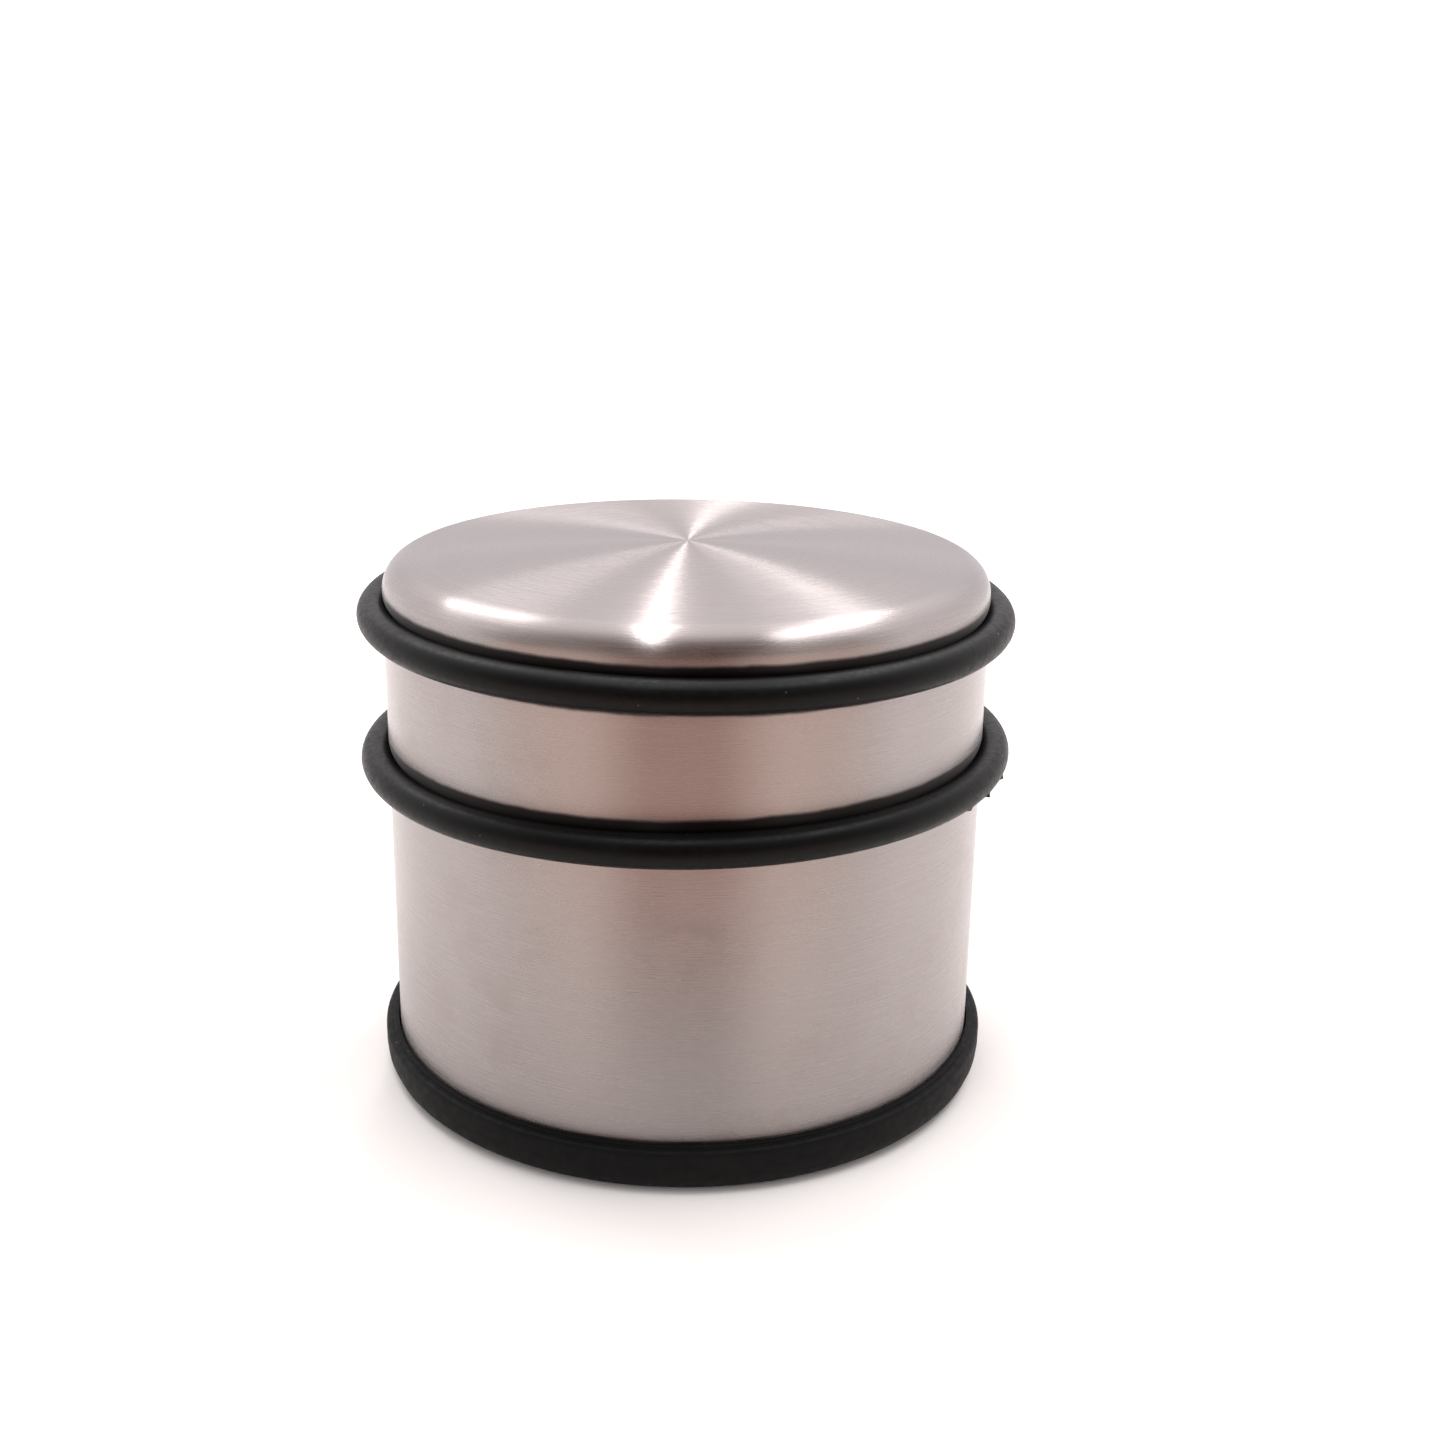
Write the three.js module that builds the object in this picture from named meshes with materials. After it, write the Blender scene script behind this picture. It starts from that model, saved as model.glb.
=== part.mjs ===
// Weighted floor door stop: a drawn stainless steel shell filled with cast ballast, two rubber
// bumper rings stretched into rolled grooves, and a moulded rubber base around the foot.
//
// Millimetres, +Z up. The origin is on the floor, at the centre of the base's underside, and every
// piece is a body of revolution about Z.

import * as THREE from "three";

// Driving dimensions
const TOTAL_HEIGHT = 75;
const SHELL_RADIUS = 41.25;
const SHELL_WALL = 0.8;
const DOME_RADIUS = 430;
const SHOULDER_RADIUS = 3.95;
const SHELL_FOOT_Z = 2.6;

const RING_SECTION_RADIUS = 2.2;
const UPPER_SEAT = { z: 66.1, depth: 1 };
const LOWER_SEAT = { z: 46.75, depth: 0.75 };
const GROOVE_LIP_RADIUS = 2.2;

const BASE_RADIUS = 43.3;
const BASE_HEIGHT = 6.5;
const BASE_FLOOR = 2.4;
const BASE_TOP_EDGE_RADIUS = 1;
const BASE_BOTTOM_EDGE_RADIUS = 3.4;
const BASE_LIP_WIDTH = 0.75;
const BASE_LIP_STEP = 0.3;

const GRIP_GROOVE_DEPTH = 0.8;
const GRIP_GROOVE_WIDTH = 2;
const GRIP_GROOVE_RADII = [17, 24, 31, 38];

const ADHESIVE_RADIUS = 38.5;
const ADHESIVE_THICKNESS = 1;
const PLATE_RADIUS = 40;
const PLATE_THICKNESS = 1;

// Clearances between neighbouring pieces
const SEAT_GAP = 0.1;
const CASTING_GAP = 0.15;
const BASE_GAP = 0.2;

// Facets: steps around the axis and along the round stretches of an outline
const AROUND = 48;
const RING_SECTION_SIDES = 12;
const DOME_STEPS = 3;
const SHOULDER_STEPS = 5;
const GROOVE_STEPS = 4;
const LIP_STEPS = 2;
const EDGE_STEPS = 3;

const GROOVE_RADIUS = RING_SECTION_RADIUS + SEAT_GAP;
const RIGHT_ANGLE = Math.PI / 2;

const point = (radius, z) => new THREE.Vector2(radius, z);

// Distance from the axis to the middle of a ring's round section, for the groove it sits in.
const ringCentreRadius = (seat) => SHELL_RADIUS - seat.depth + GROOVE_RADIUS;

// Points along a circular arc in the radius-height plane; angles are measured from the outward
// horizontal towards +Z.
function arc(centreRadius, centreZ, arcRadius, fromAngle, toAngle, steps) {
  const points = [];
  for (let i = 0; i <= steps; i++) {
    const angle = fromAngle + ((toAngle - fromAngle) * i) / steps;
    points.push(point(centreRadius + arcRadius * Math.cos(angle), centreZ + arcRadius * Math.sin(angle)));
  }
  return points;
}

// One rolled groove, from bottom to top, on a surface lying `inset` inside the shell's outer skin.
// A round lip leads from the wall into the groove below it and above it.
function groove(seat, inset) {
  const centre = ringCentreRadius(seat);
  const lipCentre = SHELL_RADIUS - GROOVE_LIP_RADIUS;
  const toLip = GROOVE_RADIUS + GROOVE_LIP_RADIUS;
  const lipAngle = Math.acos((centre - lipCentre) / toLip);
  const lipZ = toLip * Math.sin(lipAngle);
  const lipRadius = GROOVE_LIP_RADIUS - inset;
  const hollow = arc(
    centre, seat.z, GROOVE_RADIUS + inset, Math.PI + lipAngle, Math.PI - lipAngle, GROOVE_STEPS,
  );
  return [
    ...arc(lipCentre, seat.z - lipZ, lipRadius, 0, lipAngle, LIP_STEPS),
    ...hollow.slice(1, -1),
    ...arc(lipCentre, seat.z + lipZ, lipRadius, -lipAngle, 0, LIP_STEPS),
  ];
}

// The shell's outline from the wall at height `fromZ` up to the top of the dome, moved inwards by
// `inset`: straight wall, two grooves, round shoulder and a shallow spherical dome tangent to it.
function shellOutline(inset, fromZ) {
  const shoulderCentre = SHELL_RADIUS - SHOULDER_RADIUS;
  const domeCentreZ = TOTAL_HEIGHT - DOME_RADIUS;
  const toShoulder = DOME_RADIUS - SHOULDER_RADIUS;
  const tangentAngle = Math.acos(shoulderCentre / toShoulder);
  const shoulderZ = domeCentreZ + toShoulder * Math.sin(tangentAngle);
  const shoulder = arc(
    shoulderCentre, shoulderZ, SHOULDER_RADIUS - inset, 0, tangentAngle, SHOULDER_STEPS,
  );
  const dome = arc(0, domeCentreZ, DOME_RADIUS - inset, tangentAngle, RIGHT_ANGLE, DOME_STEPS);
  dome[dome.length - 1].x = 0;
  return [
    point(SHELL_RADIUS - inset, fromZ),
    ...groove(LOWER_SEAT, inset),
    ...groove(UPPER_SEAT, inset),
    ...shoulder,
    ...dome.slice(1),
  ];
}

// The outer skin up to the dome's centre, then back down the inner skin to the open foot.
function shellProfile() {
  const outside = shellOutline(0, SHELL_FOOT_Z);
  const inside = shellOutline(SHELL_WALL, SHELL_FOOT_Z).reverse();
  return [...outside, ...inside, outside[0].clone()];
}

function ringProfile(seat) {
  return arc(ringCentreRadius(seat), seat.z, RING_SECTION_RADIUS, 0, 2 * Math.PI, RING_SECTION_SIDES);
}

function discProfile(radius, bottomZ, topZ) {
  return [point(0, bottomZ), point(radius, bottomZ), point(radius, topZ), point(0, topZ)];
}

function ballastProfile(bottomZ) {
  return [point(0, bottomZ), ...shellOutline(SHELL_WALL + CASTING_GAP, bottomZ)];
}

// A flat centre pad, round grip grooves in the underside, an outer wall with rounded edges, a
// raised lip against the shell, and the recess that the shell's foot stands in.
function baseProfile() {
  const grooves = GRIP_GROOVE_RADII.flatMap((radius) => [
    point(radius - GRIP_GROOVE_WIDTH / 2, 0),
    point(radius - GRIP_GROOVE_WIDTH / 2, GRIP_GROOVE_DEPTH),
    point(radius + GRIP_GROOVE_WIDTH / 2, GRIP_GROOVE_DEPTH),
    point(radius + GRIP_GROOVE_WIDTH / 2, 0),
  ]);
  const bottomEdge = arc(
    BASE_RADIUS - BASE_BOTTOM_EDGE_RADIUS, BASE_BOTTOM_EDGE_RADIUS, BASE_BOTTOM_EDGE_RADIUS,
    -RIGHT_ANGLE, 0, EDGE_STEPS,
  );
  const rimZ = BASE_HEIGHT - BASE_LIP_STEP;
  const topEdge = arc(
    BASE_RADIUS - BASE_TOP_EDGE_RADIUS, rimZ - BASE_TOP_EDGE_RADIUS, BASE_TOP_EDGE_RADIUS,
    0, RIGHT_ANGLE, EDGE_STEPS,
  );
  const recessRadius = SHELL_RADIUS + BASE_GAP;
  const lipRadius = recessRadius + BASE_LIP_WIDTH;
  return [
    point(0, 0),
    ...grooves,
    ...bottomEdge,
    ...topEdge,
    point(lipRadius, rimZ),
    point(lipRadius, BASE_HEIGHT),
    point(recessRadius, BASE_HEIGHT),
    point(recessRadius, BASE_FLOOR),
    point(0, BASE_FLOOR),
  ];
}

// LatheGeometry turns its profile about Y, so the solid is stood up on Z.
function turned(name, profile, finish) {
  const geometry = new THREE.LatheGeometry(profile, AROUND);
  geometry.rotateX(RIGHT_ANGLE);
  const mesh = new THREE.Mesh(geometry, new THREE.MeshStandardMaterial(finish));
  mesh.name = name;
  return mesh;
}

const adhesiveZ = BASE_FLOOR + SEAT_GAP;
const plateZ = adhesiveZ + ADHESIVE_THICKNESS + SEAT_GAP;
const ballastZ = plateZ + PLATE_THICKNESS + SEAT_GAP;

const doorStop = new THREE.Group();
doorStop.add(
  turned("outer_shell", shellProfile(), { color: "#b9aea8", roughness: 0.35, metalness: 1 }),
  turned("upper_bumper_ring", ringProfile(UPPER_SEAT), { color: "#1b1c1d", roughness: 0.6, metalness: 0 }),
  turned("lower_bumper_ring", ringProfile(LOWER_SEAT), { color: "#1b1c1d", roughness: 0.6, metalness: 0 }),
  turned("cement_ballast", ballastProfile(ballastZ), { color: "#8d8a83", roughness: 0.95, metalness: 0 }),
  turned(
    "closing_plate", discProfile(PLATE_RADIUS, plateZ, plateZ + PLATE_THICKNESS),
    { color: "#9a9c9e", roughness: 0.5, metalness: 1 },
  ),
  turned(
    "adhesive_disc", discProfile(ADHESIVE_RADIUS, adhesiveZ, adhesiveZ + ADHESIVE_THICKNESS),
    { color: "#e6e2d6", roughness: 0.8, metalness: 0 },
  ),
  turned("rubber_base", baseProfile(), { color: "#232425", roughness: 0.8, metalness: 0 }),
);

export default doorStop;
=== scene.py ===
import math

import bpy
import numpy as np
from mathutils import Matrix, Vector


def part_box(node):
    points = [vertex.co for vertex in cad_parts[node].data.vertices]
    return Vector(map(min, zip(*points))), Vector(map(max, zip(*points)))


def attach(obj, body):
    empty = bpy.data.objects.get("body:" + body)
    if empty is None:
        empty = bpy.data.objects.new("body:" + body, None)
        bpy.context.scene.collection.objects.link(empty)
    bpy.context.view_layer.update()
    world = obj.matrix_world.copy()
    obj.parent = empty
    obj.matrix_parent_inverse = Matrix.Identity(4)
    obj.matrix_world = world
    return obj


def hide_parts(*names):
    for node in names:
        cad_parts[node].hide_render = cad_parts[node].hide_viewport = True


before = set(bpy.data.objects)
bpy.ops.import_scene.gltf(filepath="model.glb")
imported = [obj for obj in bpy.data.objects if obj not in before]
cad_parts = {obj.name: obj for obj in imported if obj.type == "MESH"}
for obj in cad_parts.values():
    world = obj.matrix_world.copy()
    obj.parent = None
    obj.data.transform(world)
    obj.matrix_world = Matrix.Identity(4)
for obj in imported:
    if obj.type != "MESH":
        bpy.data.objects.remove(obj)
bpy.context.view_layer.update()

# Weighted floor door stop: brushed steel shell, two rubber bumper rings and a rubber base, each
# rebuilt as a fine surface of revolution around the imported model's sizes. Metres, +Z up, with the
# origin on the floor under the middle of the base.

MM = 0.001

# Sizes read from the frame
SHELL_LOW, SHELL_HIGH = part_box("outer_shell")
_, BASE_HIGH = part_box("rubber_base")
UPPER_LOW, UPPER_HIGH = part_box("upper_bumper_ring")
LOWER_LOW, LOWER_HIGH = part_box("lower_bumper_ring")
BALLAST_LOW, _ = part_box("cement_ballast")
PLATE_LOW, PLATE_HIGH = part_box("closing_plate")
TAPE_LOW, TAPE_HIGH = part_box("adhesive_disc")
SHELL_RADIUS = SHELL_HIGH.x
RING_SECTION = (UPPER_HIGH.z - UPPER_LOW.z) / 2

# Middle of each ring's round section, as (radius, z)
UPPER_SEAT = (UPPER_HIGH.x - RING_SECTION, (UPPER_LOW.z + UPPER_HIGH.z) / 2)
LOWER_SEAT = (LOWER_HIGH.x - RING_SECTION, (LOWER_LOW.z + LOWER_HIGH.z) / 2)

# Sizes that a box can't give, as in the CAD model. BOTTOM_EDGE is how far the base's soft curve
# reaches along each side of the edge, a little more than the radius of the CAD model's arc
SHELL_WALL = 0.8 * MM
CASTING_INSET = 0.95 * MM
DOME_RADIUS = 430 * MM
SHOULDER_RADIUS = 3.95 * MM
GROOVE_RADIUS = RING_SECTION + 0.1 * MM
GROOVE_LIP = 2.2 * MM
BASE_FLOOR = 2.4 * MM
BASE_GAP = 0.2 * MM
LIP_WIDTH = 0.75 * MM
LIP_STEP = 0.3 * MM
BOTTOM_EDGE = 3.6 * MM
GRIP_RADII = [17 * MM, 24 * MM, 31 * MM, 38 * MM]
GRIP_HALF_WIDTH = 1 * MM
GRIP_DEPTH = 0.8 * MM

# The rings don't sit quite square: rise towards +X and +Y, as slopes, and how far above and below
# a ring's middle its slope reaches into the shell
UPPER_RING_SLOPE = (-0.004, 0.0065)
LOWER_RING_SLOPE = (0.016, 0.0)
SLOPE_REACH = 3.9 * MM
SLOPE_FADE = 1.4 * MM

# Painted shade on the steel at a ring, a near-black band standing for the shade and the ring's
# reflection in the crease: how far it is centred above the ring, and half its height where it is
# thick and where it ends
CREASE_SHADE_RISE = 0.2 * MM
CREASE_SHADE_FULL = 2.95 * MM
CREASE_SHADE_END = 3.55 * MM

# Moulding nibs on the rings: where round the axis and round the section, in degrees, then width
# and height. The upper ring has only the back one.
FRONT_NIBS = [
    (-18.5, -25, 0.16 * MM, 0.34 * MM),
    (-26.0, -40, 0.24 * MM, 0.50 * MM),
    (-24.6, -38, 0.18 * MM, 0.22 * MM),
    (-33.2, -49, 0.22 * MM, 0.42 * MM),
]
BACK_NIB = (141, -76, 0.45 * MM, 0.28 * MM)
RING_WOBBLE = 0.03 * MM

# Facets round the axis of the visible and of the sealed pieces, and of a ring and its section
AROUND = 512
AROUND_INSIDE = 192
AROUND_RING = 720
RING_SIDES = 44
RIGHT_ANGLE = math.pi / 2
SHARP_ANGLE = math.radians(32)

# The table top's opposite corners: it ends a little way in front of the object
FLOOR_CORNERS = ((-0.9, -0.098, -0.0002), (0.9, 0.55, 0.0))

LAMP_HEIGHT = 1.30
LAMP_AIM = (0, 0, 0.05)
WINDOW_COLOUR = (1, 0.98, 0.98)
CAMERA_POSITION = (0.0051, -0.2396, 0.1270)
CAMERA_PITCH = math.radians(18.04)
CAMERA_ROLL = math.radians(0.91)
CAMERA_LENS = 44.6


# ---------------------------------------------------------------- outlines in the (radius, z) plane

def arc(centre, radius, start, end, steps):
    angles = np.linspace(start, end, steps + 1)
    return [(centre[0] + radius * math.cos(a), centre[1] + radius * math.sin(a)) for a in angles]


def line(start, end, steps):
    return [tuple(np.array(start) + (np.array(end) - start) * t) for t in np.linspace(0, 1, steps + 1)]


def rounded(corners, steps=5):
    """An outline through corners (radius, z, fillet), each corner rounded by its fillet."""
    points = []
    for i, (r, z, fillet) in enumerate(corners):
        here = np.array((r, z))
        if fillet == 0 or i in (0, len(corners) - 1):
            points.append((r, z))
            continue
        before = np.array(corners[i - 1][:2]) - here
        after = np.array(corners[i + 1][:2]) - here
        start = here + before / np.linalg.norm(before) * fillet
        end = here + after / np.linalg.norm(after) * fillet
        for t in np.linspace(0, 1, steps + 1):
            points.append(tuple((1 - t) ** 2 * start + 2 * t * (1 - t) * here + t * t * end))
    return points


def groove(seat, inset):
    """A round-lipped groove on the skin that lies inset under the shell's outside, bottom first."""
    lip_r = SHELL_RADIUS - GROOVE_LIP
    reach = GROOVE_RADIUS + GROOVE_LIP
    turn = math.acos((seat[0] - lip_r) / reach)
    rise = reach * math.sin(turn)
    hollow = arc(seat, GROOVE_RADIUS + inset, math.pi + turn, math.pi - turn, 14)
    return (
        arc((lip_r, seat[1] - rise), GROOVE_LIP - inset, 0, turn, 8)
        + hollow[1:-1]
        + arc((lip_r, seat[1] + rise), GROOVE_LIP - inset, -turn, 0, 8)
    )


def shell_outline(inset, foot_z):
    """Wall, grooves, shoulder and dome of the skin that lies inset under the shell's outside."""
    dome_z = SHELL_HIGH.z - DOME_RADIUS
    shoulder_r = SHELL_RADIUS - SHOULDER_RADIUS
    reach = DOME_RADIUS - SHOULDER_RADIUS
    tangent = math.acos(shoulder_r / reach)
    shoulder = (shoulder_r, dome_z + reach * math.sin(tangent))
    wall = SHELL_RADIUS - inset
    low_groove = groove(LOWER_SEAT, inset)
    high_groove = groove(UPPER_SEAT, inset)
    dome = arc((0, dome_z), DOME_RADIUS - inset, tangent, RIGHT_ANGLE, 40)
    dome[-1] = (0.0, SHELL_HIGH.z - inset)
    return (
        line((wall, foot_z), low_groove[0], 12)[:-1]
        + low_groove
        + line(low_groove[-1], high_groove[0], 8)[1:-1]
        + high_groove
        + arc(shoulder, SHOULDER_RADIUS - inset, 0, tangent, 28)
        + dome[1:]
    )


def shell_profile():
    outside = shell_outline(0, SHELL_LOW.z)
    inside = shell_outline(SHELL_WALL, SHELL_LOW.z)[::-1]
    return outside + inside + outside[:1]


def disc_profile(low, high, fillet):
    return rounded([(0, low.z, 0), (high.x, low.z, fillet), (high.x, high.z, fillet), (0, high.z, 0)])


def base_profile():
    corners = [(0, 0, 0)]
    for radius in GRIP_RADII:
        inner, outer = radius - GRIP_HALF_WIDTH, radius + GRIP_HALF_WIDTH
        corners += [
            (inner, 0, 0.25 * MM), (inner, GRIP_DEPTH, 0.3 * MM),
            (outer, GRIP_DEPTH, 0.3 * MM), (outer, 0, 0.25 * MM),
        ]
    rim_z = BASE_HIGH.z - LIP_STEP
    recess = SHELL_RADIUS + BASE_GAP
    lip = recess + LIP_WIDTH
    corners += [
        (BASE_HIGH.x, 0, BOTTOM_EDGE),
        (BASE_HIGH.x, rim_z, 0.85 * MM),
        (lip, rim_z, 0.1 * MM),
        (lip, BASE_HIGH.z, 0.12 * MM),
        (recess, BASE_HIGH.z, 0.12 * MM),
        (recess, BASE_FLOOR, 0.3 * MM),
        (0, BASE_FLOOR, 0),
    ]
    return rounded(corners)


# ---------------------------------------------------------------- meshes

def crooked(points, ring_z, slope):
    """Moves points near a ring's height up or down so that the ring and its groove lie askew."""
    weight = np.clip((SLOPE_REACH - np.abs(points[:, 2] - ring_z)) / SLOPE_FADE, 0, 1)
    points[:, 2] += (slope[0] * points[:, 0] + slope[1] * points[:, 1]) * weight


def piece(name, points, faces, material):
    """A smooth-shaded mesh object, sharp only along edges steeper than SHARP_ANGLE."""
    mesh = bpy.data.meshes.new(name)
    mesh.from_pydata([tuple(p) for p in points], [], faces)
    mesh.validate()
    mesh.shade_smooth()
    mesh.set_sharp_from_angle(angle=SHARP_ANGLE)
    mesh.materials.append(material)
    made = bpy.data.objects.new(name, mesh)
    bpy.context.scene.collection.objects.link(made)
    return made


def turned(profile, around):
    """Points and faces of a profile turned about Z; both its ends lie on the axis, or it closes."""
    outline = np.array(profile)
    if np.allclose(outline[0], outline[-1]):
        outline = outline[:-1]
        closed = True
    else:
        closed = False
    angles = np.arange(around) * (2 * math.pi / around)
    on_axis = outline[:, 0] < 1e-9
    points, starts = [], []
    for (r, z), single in zip(outline, on_axis):
        starts.append(len(points))
        if single:
            points.append((0.0, 0.0, z))
        else:
            points += [(r * math.cos(a), r * math.sin(a), z) for a in angles]
    faces = []
    pairs = len(outline) if closed else len(outline) - 1
    for i in range(pairs):
        j = (i + 1) % len(outline)
        a, b = starts[i], starts[j]
        for k in range(around):
            n = (k + 1) % around
            if on_axis[i]:
                faces.append((a, b + n, b + k))
            elif on_axis[j]:
                faces.append((a + k, a + n, b))
            else:
                faces.append((a + k, a + n, b + n, b + k))
    return np.array(points), faces


def ring(name, seat, slope, material, nibs):
    """A stretched rubber ring of round section, faintly uneven, with moulding nibs on its skin."""
    turn = np.arange(AROUND_RING) * (2 * math.pi / AROUND_RING)
    angle = np.arange(RING_SIDES) * (2 * math.pi / RING_SIDES)
    turn, angle = np.meshgrid(turn, angle, indexing="ij")
    wobble = RING_WOBBLE * (np.sin(3 * turn + 0.6) + 0.6 * np.sin(7 * turn + 2.1))
    radius = RING_SECTION * np.ones_like(turn)
    for nib_turn, nib_angle, size, height in nibs:
        from_turn = turn - math.radians(nib_turn)
        from_angle = angle - math.radians(nib_angle)
        spread = ((from_turn + math.pi) % (2 * math.pi) - math.pi) * seat[0]
        across = ((from_angle + math.pi) % (2 * math.pi) - math.pi) * RING_SECTION
        radius += height * np.exp(-((spread / size) ** 2 + (across / (0.6 * size)) ** 2))
    away = seat[0] + radius * np.cos(angle)
    height = seat[1] + wobble + radius * np.sin(angle)
    points = np.stack([away * np.cos(turn), away * np.sin(turn), height], -1).reshape(-1, 3)
    crooked(points, seat[1], slope)
    faces = []
    for i in range(AROUND_RING):
        here, there = i * RING_SIDES, (i + 1) % AROUND_RING * RING_SIDES
        for j in range(RING_SIDES):
            following = (j + 1) % RING_SIDES
            faces.append((here + j, there + j, there + following, here + following))
    return piece(name, points, faces, material)


# ---------------------------------------------------------------- materials

class Nodes:
    """A short way to write a node tree: new("ShaderNodeX", settings, input=value or socket)."""

    def __init__(self, name):
        self.material = bpy.data.materials.new(name)
        self.material.use_nodes = True
        self.tree = self.material.node_tree
        self.shader = self.tree.nodes["Principled BSDF"]
        self.coords = self.new("ShaderNodeTexCoord").outputs["Object"]

    def new(self, kind, settings=None, **inputs):
        made = self.tree.nodes.new(kind)
        for key, value in (settings or {}).items():
            setattr(made, key, value)
        for key, value in inputs.items():
            self.set(made, int(key[1:]) if key[0] == "_" else key, value)
        return made

    def set(self, made, key, value):
        socket = made.inputs[key]
        if isinstance(value, bpy.types.NodeSocket):
            self.tree.links.new(value, socket)
        else:
            socket.default_value = value

    def math(self, operation, a, b=0.0):
        return self.new("ShaderNodeMath", {"operation": operation}, _0=a, _1=b).outputs[0]

    def noise(self, vector, scale, detail=2.0, roughness=0.5):
        return self.new(
            "ShaderNodeTexNoise", Vector=vector, Scale=scale, Detail=detail, Roughness=roughness,
        ).outputs["Fac"]

    def step(self, value, low, high, to_low=0.0, to_high=1.0):
        made = self.new("ShaderNodeMapRange", {"interpolation_type": "SMOOTHSTEP"})
        self.set(made, "Value", value)
        self.set(made, "From Min", low)
        self.set(made, "From Max", high)
        self.set(made, "To Min", to_low)
        self.set(made, "To Max", to_high)
        return made.outputs["Result"]

    def mix(self, share, a, b):
        made = self.new("ShaderNodeMix", {"data_type": "RGBA"})
        self.set(made, 0, share)
        self.set(made, 6, a)
        self.set(made, 7, b)
        return made.outputs[2]

    def bump(self, height, strength, distance):
        made = self.new("ShaderNodeBump", Height=height, Strength=strength, Distance=distance)
        return made.outputs["Normal"]

    def around_axis(self, turn_scale, along_scale):
        """Coordinates for marks that run round the axis: slow along the mark, quick across it."""
        split = self.new("ShaderNodeSeparateXYZ", Vector=self.coords)
        flat = self.new("ShaderNodeCombineXYZ", X=split.outputs[0], Y=split.outputs[1]).outputs[0]
        radius = self.new("ShaderNodeVectorMath", {"operation": "LENGTH"}, _0=flat).outputs["Value"]
        unit = self.new("ShaderNodeVectorMath", {"operation": "NORMALIZE"}, _0=flat).outputs[0]
        turn = self.new("ShaderNodeSeparateXYZ", Vector=unit)
        along = self.math("SUBTRACT", radius, split.outputs[2])
        return self.new(
            "ShaderNodeCombineXYZ",
            X=self.math("MULTIPLY", turn.outputs[0], turn_scale),
            Y=self.math("MULTIPLY", turn.outputs[1], turn_scale),
            Z=self.math("MULTIPLY", along, along_scale),
        ).outputs[0]


def painted_crease_shade(n, seat, slope):
    """How much painted shade darkens the steel close to a ring, from 0 to 1; it stands for the shade
    and the ring's reflection in the crease.
    """
    split = n.new("ShaderNodeSeparateXYZ", Vector=n.coords)
    lean_x = n.math("MULTIPLY", split.outputs[0], slope[0])
    lean_y = n.math("MULTIPLY", split.outputs[1], slope[1])
    lean = n.math("ADD", lean_x, lean_y)
    above = n.math("SUBTRACT", n.math("SUBTRACT", split.outputs[2], seat[1] + CREASE_SHADE_RISE), lean)
    ragged = n.math("MULTIPLY", n.noise(n.coords, 170, 3, 0.6), 0.5 * MM)
    distance = n.math("ADD", n.math("ABSOLUTE", above), ragged)
    return n.math("SUBTRACT", 1.0, n.step(distance, CREASE_SHADE_FULL, CREASE_SHADE_END))


def brushed_steel():
    """Satin stainless steel, spun against an abrasive, so every mark runs round the axis."""
    n = Nodes("brushed_steel")
    # Painted shade and reflection: a near-black band on the steel at each ring stands for the dark
    # crease
    crease_shade = n.math(
        "MAXIMUM",
        painted_crease_shade(n, UPPER_SEAT, UPPER_RING_SLOPE),
        painted_crease_shade(n, LOWER_SEAT, LOWER_RING_SLOPE),
    )
    fine = n.noise(n.around_axis(3, 8000), 1, 3, 0.65)
    broad = n.noise(n.around_axis(9, 2400), 1, 2, 0.5)
    short = n.noise(n.around_axis(13, 3200), 1, 2, 0.6)
    scratch = n.step(short, 0.66, 0.78)
    cloud = n.noise(n.coords, 48, 4, 0.6)
    smear = n.noise(n.around_axis(5, 160), 1, 3, 0.6)
    dull = n.math("MULTIPLY", n.step(cloud, 0.48, 0.72), n.step(smear, 0.4, 0.7))
    lines = n.math("ADD", n.math("MULTIPLY", fine, 0.8), n.math("MULTIPLY", broad, 0.2))

    bright = n.mix(n.step(lines, 0.35, 0.65), (0.330, 0.300, 0.292, 1), (0.366, 0.333, 0.325, 1))
    marked = n.mix(n.math("MULTIPLY", scratch, 0.25), bright, (0.30, 0.26, 0.24, 1))
    colour = n.mix(n.math("MULTIPLY", dull, 0.30), marked, (0.36, 0.29, 0.26, 1))
    # Painted shade: the steel near each ring is darkened almost to black; the same mask also roughens
    # it
    colour = n.mix(n.math("MULTIPLY", crease_shade, 0.88), colour, (0.004, 0.0035, 0.0035, 1))
    rough = n.math("ADD", n.step(lines, 0.3, 0.7, 0.245, 0.285), n.math("MULTIPLY", dull, 0.06))
    rough = n.math("ADD", rough, n.math("MULTIPLY", crease_shade, 0.25))
    height = n.math("SUBTRACT", lines, n.math("MULTIPLY", scratch, 0.5))

    n.set(n.shader, "Base Color", colour)
    n.set(n.shader, "Metallic", 1.0)
    n.set(n.shader, "Roughness", rough)
    n.set(n.shader, "Anisotropic", 1.0)
    n.set(n.shader, "Anisotropic Rotation", 0.25)
    round_axis = n.new("ShaderNodeTangent", {"direction_type": "RADIAL", "axis": "Z"})
    n.set(n.shader, "Tangent", round_axis.outputs[0])
    n.set(n.shader, "Normal", n.bump(height, 0.35, 0.012 * MM))
    return n.material


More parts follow.
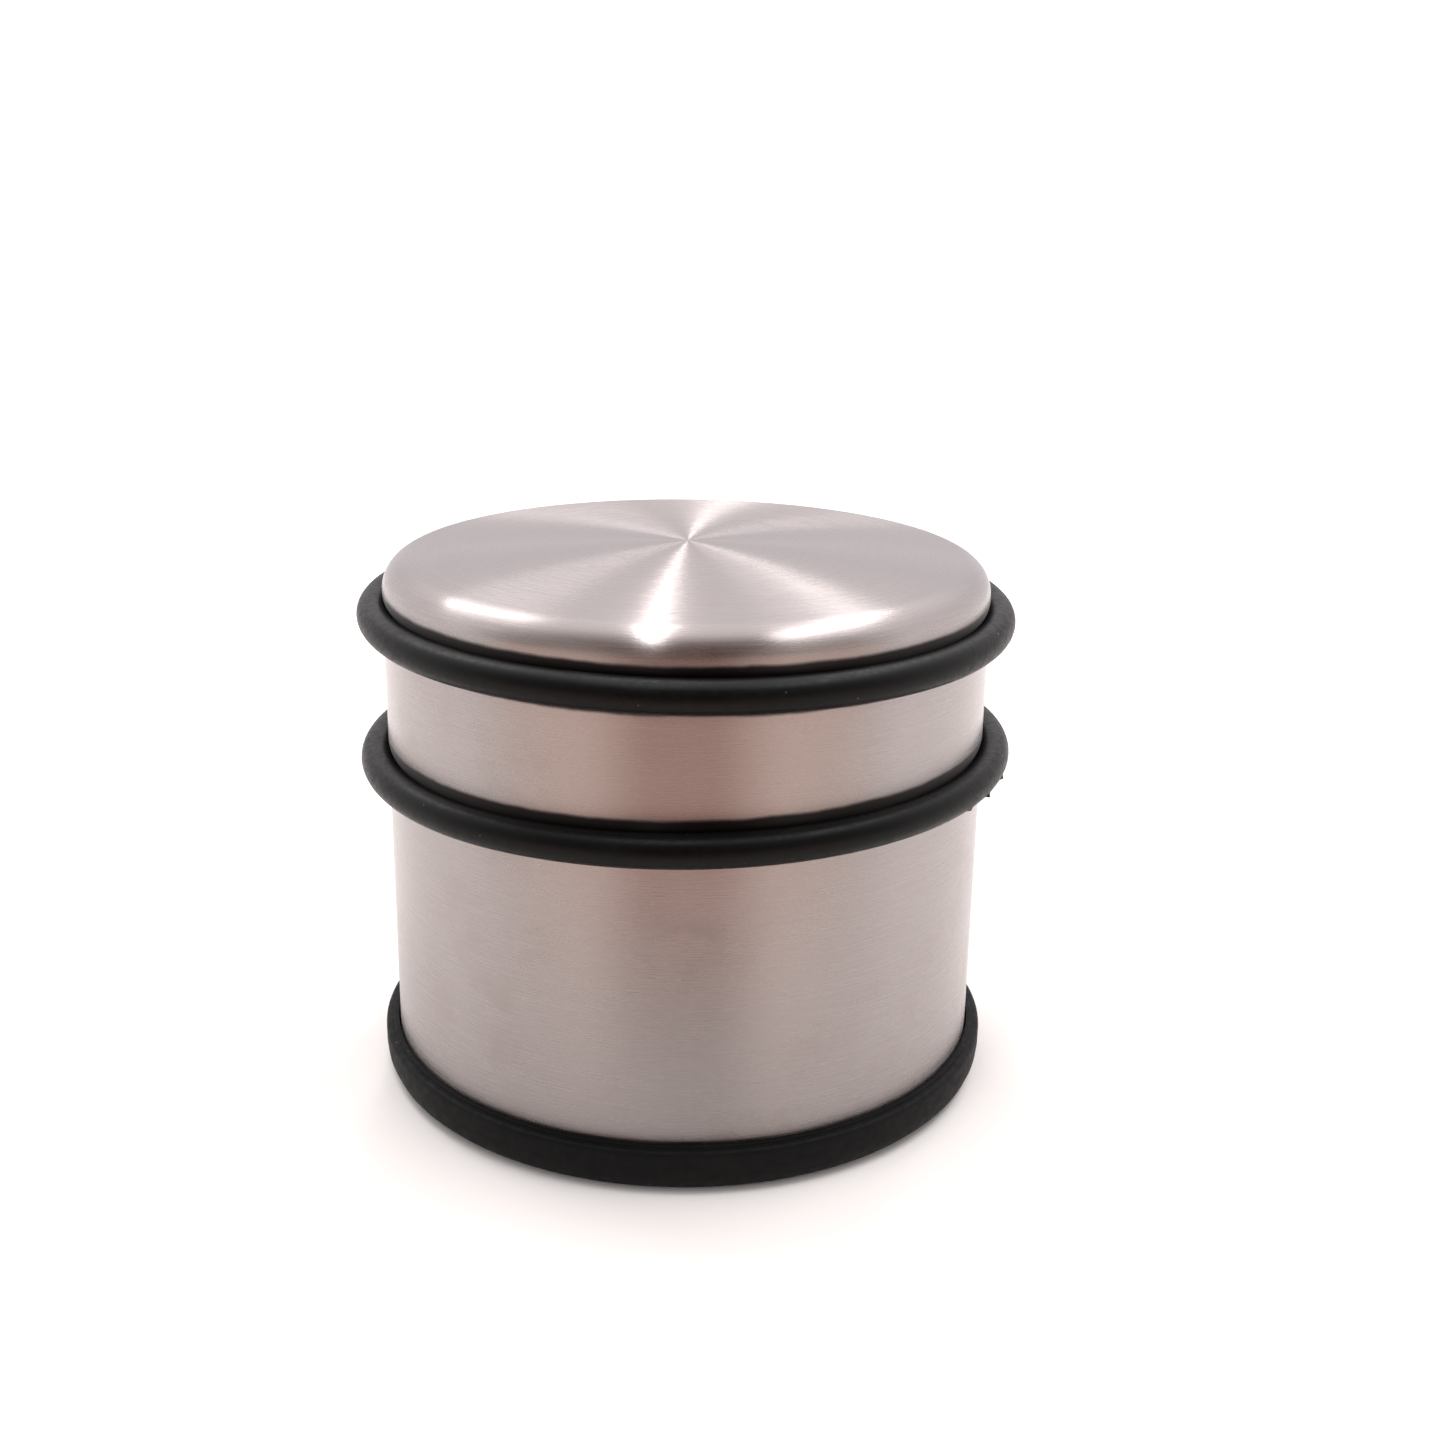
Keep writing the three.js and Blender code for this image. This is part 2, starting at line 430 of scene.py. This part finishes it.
def rubber(name, dark, light, roughness, grain, dust_share):
    """Black moulded rubber with a faint grain, worn patches and a little dust."""
    n = Nodes(name)
    patches = n.noise(n.coords, 90, 4, 0.6)
    drag = n.noise(n.around_axis(9, 900), 1, 3, 0.6)
    skin = n.noise(n.coords, grain, 3, 0.6)
    dust = n.step(n.noise(n.coords, 2300, 1, 0.4), 0.78, 0.81)
    sparse = n.step(n.noise(n.coords, 120, 3, 0.6), 0.48, 0.64)
    specks = n.math("MULTIPLY", n.math("MULTIPLY", dust, sparse), dust_share)
    wear = n.math("MULTIPLY", n.step(patches, 0.4, 0.75), n.step(drag, 0.35, 0.75))

    colour = n.mix(wear, (*dark, 1), (*light, 1))
    colour = n.mix(specks, colour, (0.42, 0.40, 0.38, 1))
    grained = n.step(skin, 0.3, 0.7, roughness - 0.05, roughness + 0.07)
    rough = n.math("ADD", grained, n.math("MULTIPLY", wear, 0.12))
    relief = n.math("ADD", n.math("MULTIPLY", skin, 0.7), n.math("MULTIPLY", drag, 0.3))

    n.set(n.shader, "Base Color", colour)
    n.set(n.shader, "Roughness", rough)
    n.set(n.shader, "Specular IOR Level", 0.13)
    n.set(n.shader, "Normal", n.bump(relief, 0.25, 0.02 * MM))
    return n.material


def cast_cement():
    """Grey cement mortar with sand grains and small air voids, the voids darkened with painted shade.
    """
    n = Nodes("cast_cement")
    sand = n.noise(n.coords, 900, 4, 0.7)
    stain = n.noise(n.coords, 60, 4, 0.6)
    shaded_voids = n.step(n.noise(n.coords, 420, 1, 0.4), 0.68, 0.74)
    grey = n.mix(stain, (0.30, 0.29, 0.27, 1), (0.44, 0.43, 0.40, 1))
    grain = n.mix(n.step(sand, 0.55, 0.7), grey, (0.52, 0.50, 0.45, 1))
    # Painted shade: the air voids are coloured dark for the shade inside them; their dent is only a
    # bump
    n.set(n.shader, "Base Color", n.mix(shaded_voids, grain, (0.16, 0.155, 0.15, 1)))
    n.set(n.shader, "Roughness", n.step(sand, 0.3, 0.7, 0.86, 0.97))
    n.set(n.shader, "Normal", n.bump(n.math("SUBTRACT", sand, shaded_voids), 0.8, 0.15 * MM))
    return n.material


def zinc_plate():
    """Zinc-plated sheet: cool grey with a faint spangle and fine handling marks."""
    n = Nodes("zinc_plate")
    spangle = n.noise(n.coords, 260, 3, 0.5)
    marks = n.noise(n.around_axis(6, 1200), 1, 2, 0.6)
    n.set(n.shader, "Base Color", n.mix(spangle, (0.42, 0.44, 0.46, 1), (0.60, 0.61, 0.62, 1)))
    n.set(n.shader, "Metallic", 1.0)
    n.set(n.shader, "Roughness", n.step(marks, 0.3, 0.7, 0.38, 0.55))
    n.set(n.shader, "Normal", n.bump(marks, 0.3, 0.02 * MM))
    return n.material


def foam_tape():
    """Off-white closed-cell foam tape."""
    n = Nodes("foam_tape")
    cells = n.new("ShaderNodeTexVoronoi", Vector=n.coords, Scale=2600.0).outputs["Distance"]
    stain = n.noise(n.coords, 70, 3, 0.5)
    n.set(n.shader, "Base Color", n.mix(stain, (0.72, 0.69, 0.60, 1), (0.82, 0.80, 0.74, 1)))
    n.set(n.shader, "Roughness", n.step(cells, 0.1, 0.6, 0.72, 0.92))
    n.set(n.shader, "Normal", n.bump(cells, 0.5, 0.05 * MM))
    return n.material


def studio_floor():
    """Matt, nearly white board."""
    n = Nodes("studio_floor")
    cloud = n.noise(n.coords, 6, 3, 0.5)
    n.set(n.shader, "Base Color", n.mix(cloud, (0.92, 0.865, 0.845, 1), (0.94, 0.885, 0.865, 1)))
    n.set(n.shader, "Roughness", 0.75)
    n.set(n.shader, "Specular IOR Level", 0.2)
    return n.material


# ---------------------------------------------------------------- the object

def place(made, node):
    """Puts a piece on the part's only body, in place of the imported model's node."""
    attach(made, "root")
    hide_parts(node)


def build_shell(material):
    points, faces = turned(shell_profile(), AROUND)
    crooked(points, LOWER_SEAT[1], LOWER_RING_SLOPE)
    crooked(points, UPPER_SEAT[1], UPPER_RING_SLOPE)
    place(piece("brushed_shell", points, faces, material), "outer_shell")


def build_rings(material):
    upper = ring("upper_ring", UPPER_SEAT, UPPER_RING_SLOPE, material, [BACK_NIB])
    place(upper, "upper_bumper_ring")
    lower = ring("lower_ring", LOWER_SEAT, LOWER_RING_SLOPE, material, FRONT_NIBS + [BACK_NIB])
    place(lower, "lower_bumper_ring")


def build_base(material):
    points, faces = turned(base_profile(), AROUND)
    place(piece("moulded_base", points, faces, material), "rubber_base")


def build_inside():
    """The pieces sealed inside: the cast ballast, its closing plate and the adhesive disc."""
    ballast = [(0, BALLAST_LOW.z)] + shell_outline(CASTING_INSET, BALLAST_LOW.z)
    points, faces = turned(ballast, AROUND_INSIDE)
    crooked(points, LOWER_SEAT[1], LOWER_RING_SLOPE)
    crooked(points, UPPER_SEAT[1], UPPER_RING_SLOPE)
    place(piece("ballast_casting", points, faces, cast_cement()), "cement_ballast")
    points, faces = turned(disc_profile(PLATE_LOW, PLATE_HIGH, 0.2 * MM), AROUND_INSIDE)
    place(piece("closing_disc", points, faces, zinc_plate()), "closing_plate")
    points, faces = turned(disc_profile(TAPE_LOW, TAPE_HIGH, 0.15 * MM), AROUND_INSIDE)
    place(piece("foam_tape_disc", points, faces, foam_tape()), "adhesive_disc")


# ---------------------------------------------------------------- the stage

def build_floor():
    """The pale table top, a thin box."""
    xs, ys, zs = zip(*FLOOR_CORNERS)
    points = [(x, y, z) for x in xs for y in ys for z in zs]
    faces = [(0, 1, 3, 2), (4, 6, 7, 5), (0, 4, 5, 1), (2, 3, 7, 6), (0, 2, 6, 4), (1, 5, 7, 3)]
    floor = piece("floor", points, faces, studio_floor())


def window_light(name, position, size, power):
    """A flat soft light that faces the object."""
    light = bpy.data.lights.new(name, "AREA")
    light.shape = "RECTANGLE"
    light.size, light.size_y = size
    light.energy = power
    light.color = WINDOW_COLOUR
    made = bpy.data.objects.new(name, light)
    made.location = position
    direction = Vector(LAMP_AIM) - Vector(position)
    made.rotation_euler = direction.to_track_quat("-Z", "Y").to_euler()
    bpy.context.scene.collection.objects.link(made)


def tube_light(name, start, end, width, power):
    """A straight ceiling lamp from start to end, both (x, y), shining straight down."""
    start, end = Vector((*start, LAMP_HEIGHT)), Vector((*end, LAMP_HEIGHT))
    light = bpy.data.lights.new(name, "AREA")
    light.shape = "RECTANGLE"
    light.size, light.size_y = width, (end - start).length
    light.energy = power
    made = bpy.data.objects.new(name, light)
    along = (end - start).normalized()
    across = along.cross(Vector((0, 0, 1))).normalized()
    turn = Matrix((across, along, across.cross(along))).transposed().to_4x4()
    made.matrix_world = Matrix.Translation((start + end) / 2) @ turn
    bpy.context.scene.collection.objects.link(made)


def build_lights():
    tube_light("ceiling_tube", (-0.200, -0.63), (-0.085, 0.92), 0.045, 6.8)
    tube_light("right_panel", (0.56, -0.40), (0.70, 0.70), 0.24, 8)
    window_light("right_window", (0.43, 0.81, 1.06), (0.22, 0.22), 1.7)
    window_light("left_window", (-0.65, 0.58, 1.00), (0.42, 0.48), 3.4)


def build_world():
    """A soft room that the steel reflects: bright overhead and behind, dim and warm in front.

    Diffuse surfaces get one even light from it, and the background behind the object is white.
    """
    world = bpy.data.worlds.new("studio")
    bpy.context.scene.world = world
    world.use_nodes = True
    tree = world.node_tree
    link = tree.links.new
    background = tree.nodes["Background"]

    def math_node(operation, a, b):
        made = tree.nodes.new("ShaderNodeMath")
        made.operation = operation
        for socket, value in zip(made.inputs, (a, b)):
            if isinstance(value, bpy.types.NodeSocket):
                link(value, socket)
            else:
                socket.default_value = value
        return made.outputs[0]

    def smooth(value, low, high):
        made = tree.nodes.new("ShaderNodeMapRange")
        made.interpolation_type = "SMOOTHSTEP"
        link(value, made.inputs["Value"])
        made.inputs["From Min"].default_value = low
        made.inputs["From Max"].default_value = high
        return made.outputs["Result"]

    def mix_colour(share, a, b):
        made = tree.nodes.new("ShaderNodeMix")
        made.data_type = "RGBA"
        link(share, made.inputs[0])
        for socket, value in ((made.inputs[6], a), (made.inputs[7], b)):
            if isinstance(value, bpy.types.NodeSocket):
                link(value, socket)
            else:
                socket.default_value = value
        return made.outputs[2]

    coords = tree.nodes.new("ShaderNodeTexCoord")
    split = tree.nodes.new("ShaderNodeSeparateXYZ")
    link(coords.outputs["Generated"], split.inputs[0])
    height = split.outputs[2]
    sides = math_node("ABSOLUTE", split.outputs[0], 0.0)
    front = smooth(math_node("MULTIPLY", split.outputs[1], -1.0), -0.05, 0.50)
    below_ceiling = math_node("SUBTRACT", 1.0, smooth(height, 0.86, 1.0))
    middle = math_node("SUBTRACT", 1.0, smooth(sides, 0.15, 0.62))

    back = mix_colour(smooth(height, 0.20, 0.70), (0.99, 0.93, 0.96, 1), (1.90, 1.82, 1.85, 1))
    walls = mix_colour(smooth(sides, 0.35, 0.95), back, (1.35, 1.29, 1.30, 1))
    facing = mix_colour(smooth(height, -0.20, 0.12), (1.68, 1.31, 1.15, 1), (0.34, 0.30, 0.29, 1))
    warm_floor, dark_room = (2.05, 1.36, 1.16, 1), (0.12, 0.065, 0.055, 1)
    dim_middle = mix_colour(smooth(height, -0.62, -0.06), warm_floor, dark_room)
    low_front = mix_colour(middle, facing, dim_middle)
    room = mix_colour(math_node("MULTIPLY", front, below_ceiling), walls, low_front)
    path = tree.nodes.new("ShaderNodeLightPath")
    soft = mix_colour(path.outputs["Is Diffuse Ray"], room, (0.88, 0.88, 0.88, 1))
    shown = mix_colour(path.outputs["Is Camera Ray"], soft, (1, 1, 1, 1))
    link(shown, background.inputs["Color"])
    background.inputs["Strength"].default_value = 1.0


def build_camera():
    """Looks down at the object from the front, turned a little about its own axis."""
    forward = Vector((0, math.cos(CAMERA_PITCH), -math.sin(CAMERA_PITCH)))
    level = Vector((1, 0, 0))
    right = level * math.cos(CAMERA_ROLL) + level.cross(forward) * math.sin(CAMERA_ROLL)
    up = right.cross(forward)
    data = bpy.data.cameras.new("camera")
    data.sensor_width = 36
    data.lens = CAMERA_LENS
    data.clip_start = 0.01
    data.clip_end = 20
    camera = bpy.data.objects.new("camera", data)
    turn = Matrix((right, up, -forward)).transposed().to_4x4()
    camera.matrix_world = Matrix.Translation(CAMERA_POSITION) @ turn
    bpy.context.scene.collection.objects.link(camera)
    bpy.context.scene.camera = camera


build_camera()
build_lights()
build_world()
build_floor()
build_shell(brushed_steel())
build_rings(rubber(
    "ring_rubber", dark=(0.002, 0.002, 0.002), light=(0.005, 0.0048, 0.0046),
    roughness=0.40, grain=1300, dust_share=0.8,
))
build_base(rubber(
    "base_rubber", dark=(0.003, 0.003, 0.003), light=(0.008, 0.0076, 0.0072),
    roughness=0.60, grain=800, dust_share=0.8,
))
build_inside()
bpy.context.scene.view_settings.view_transform = "Standard"
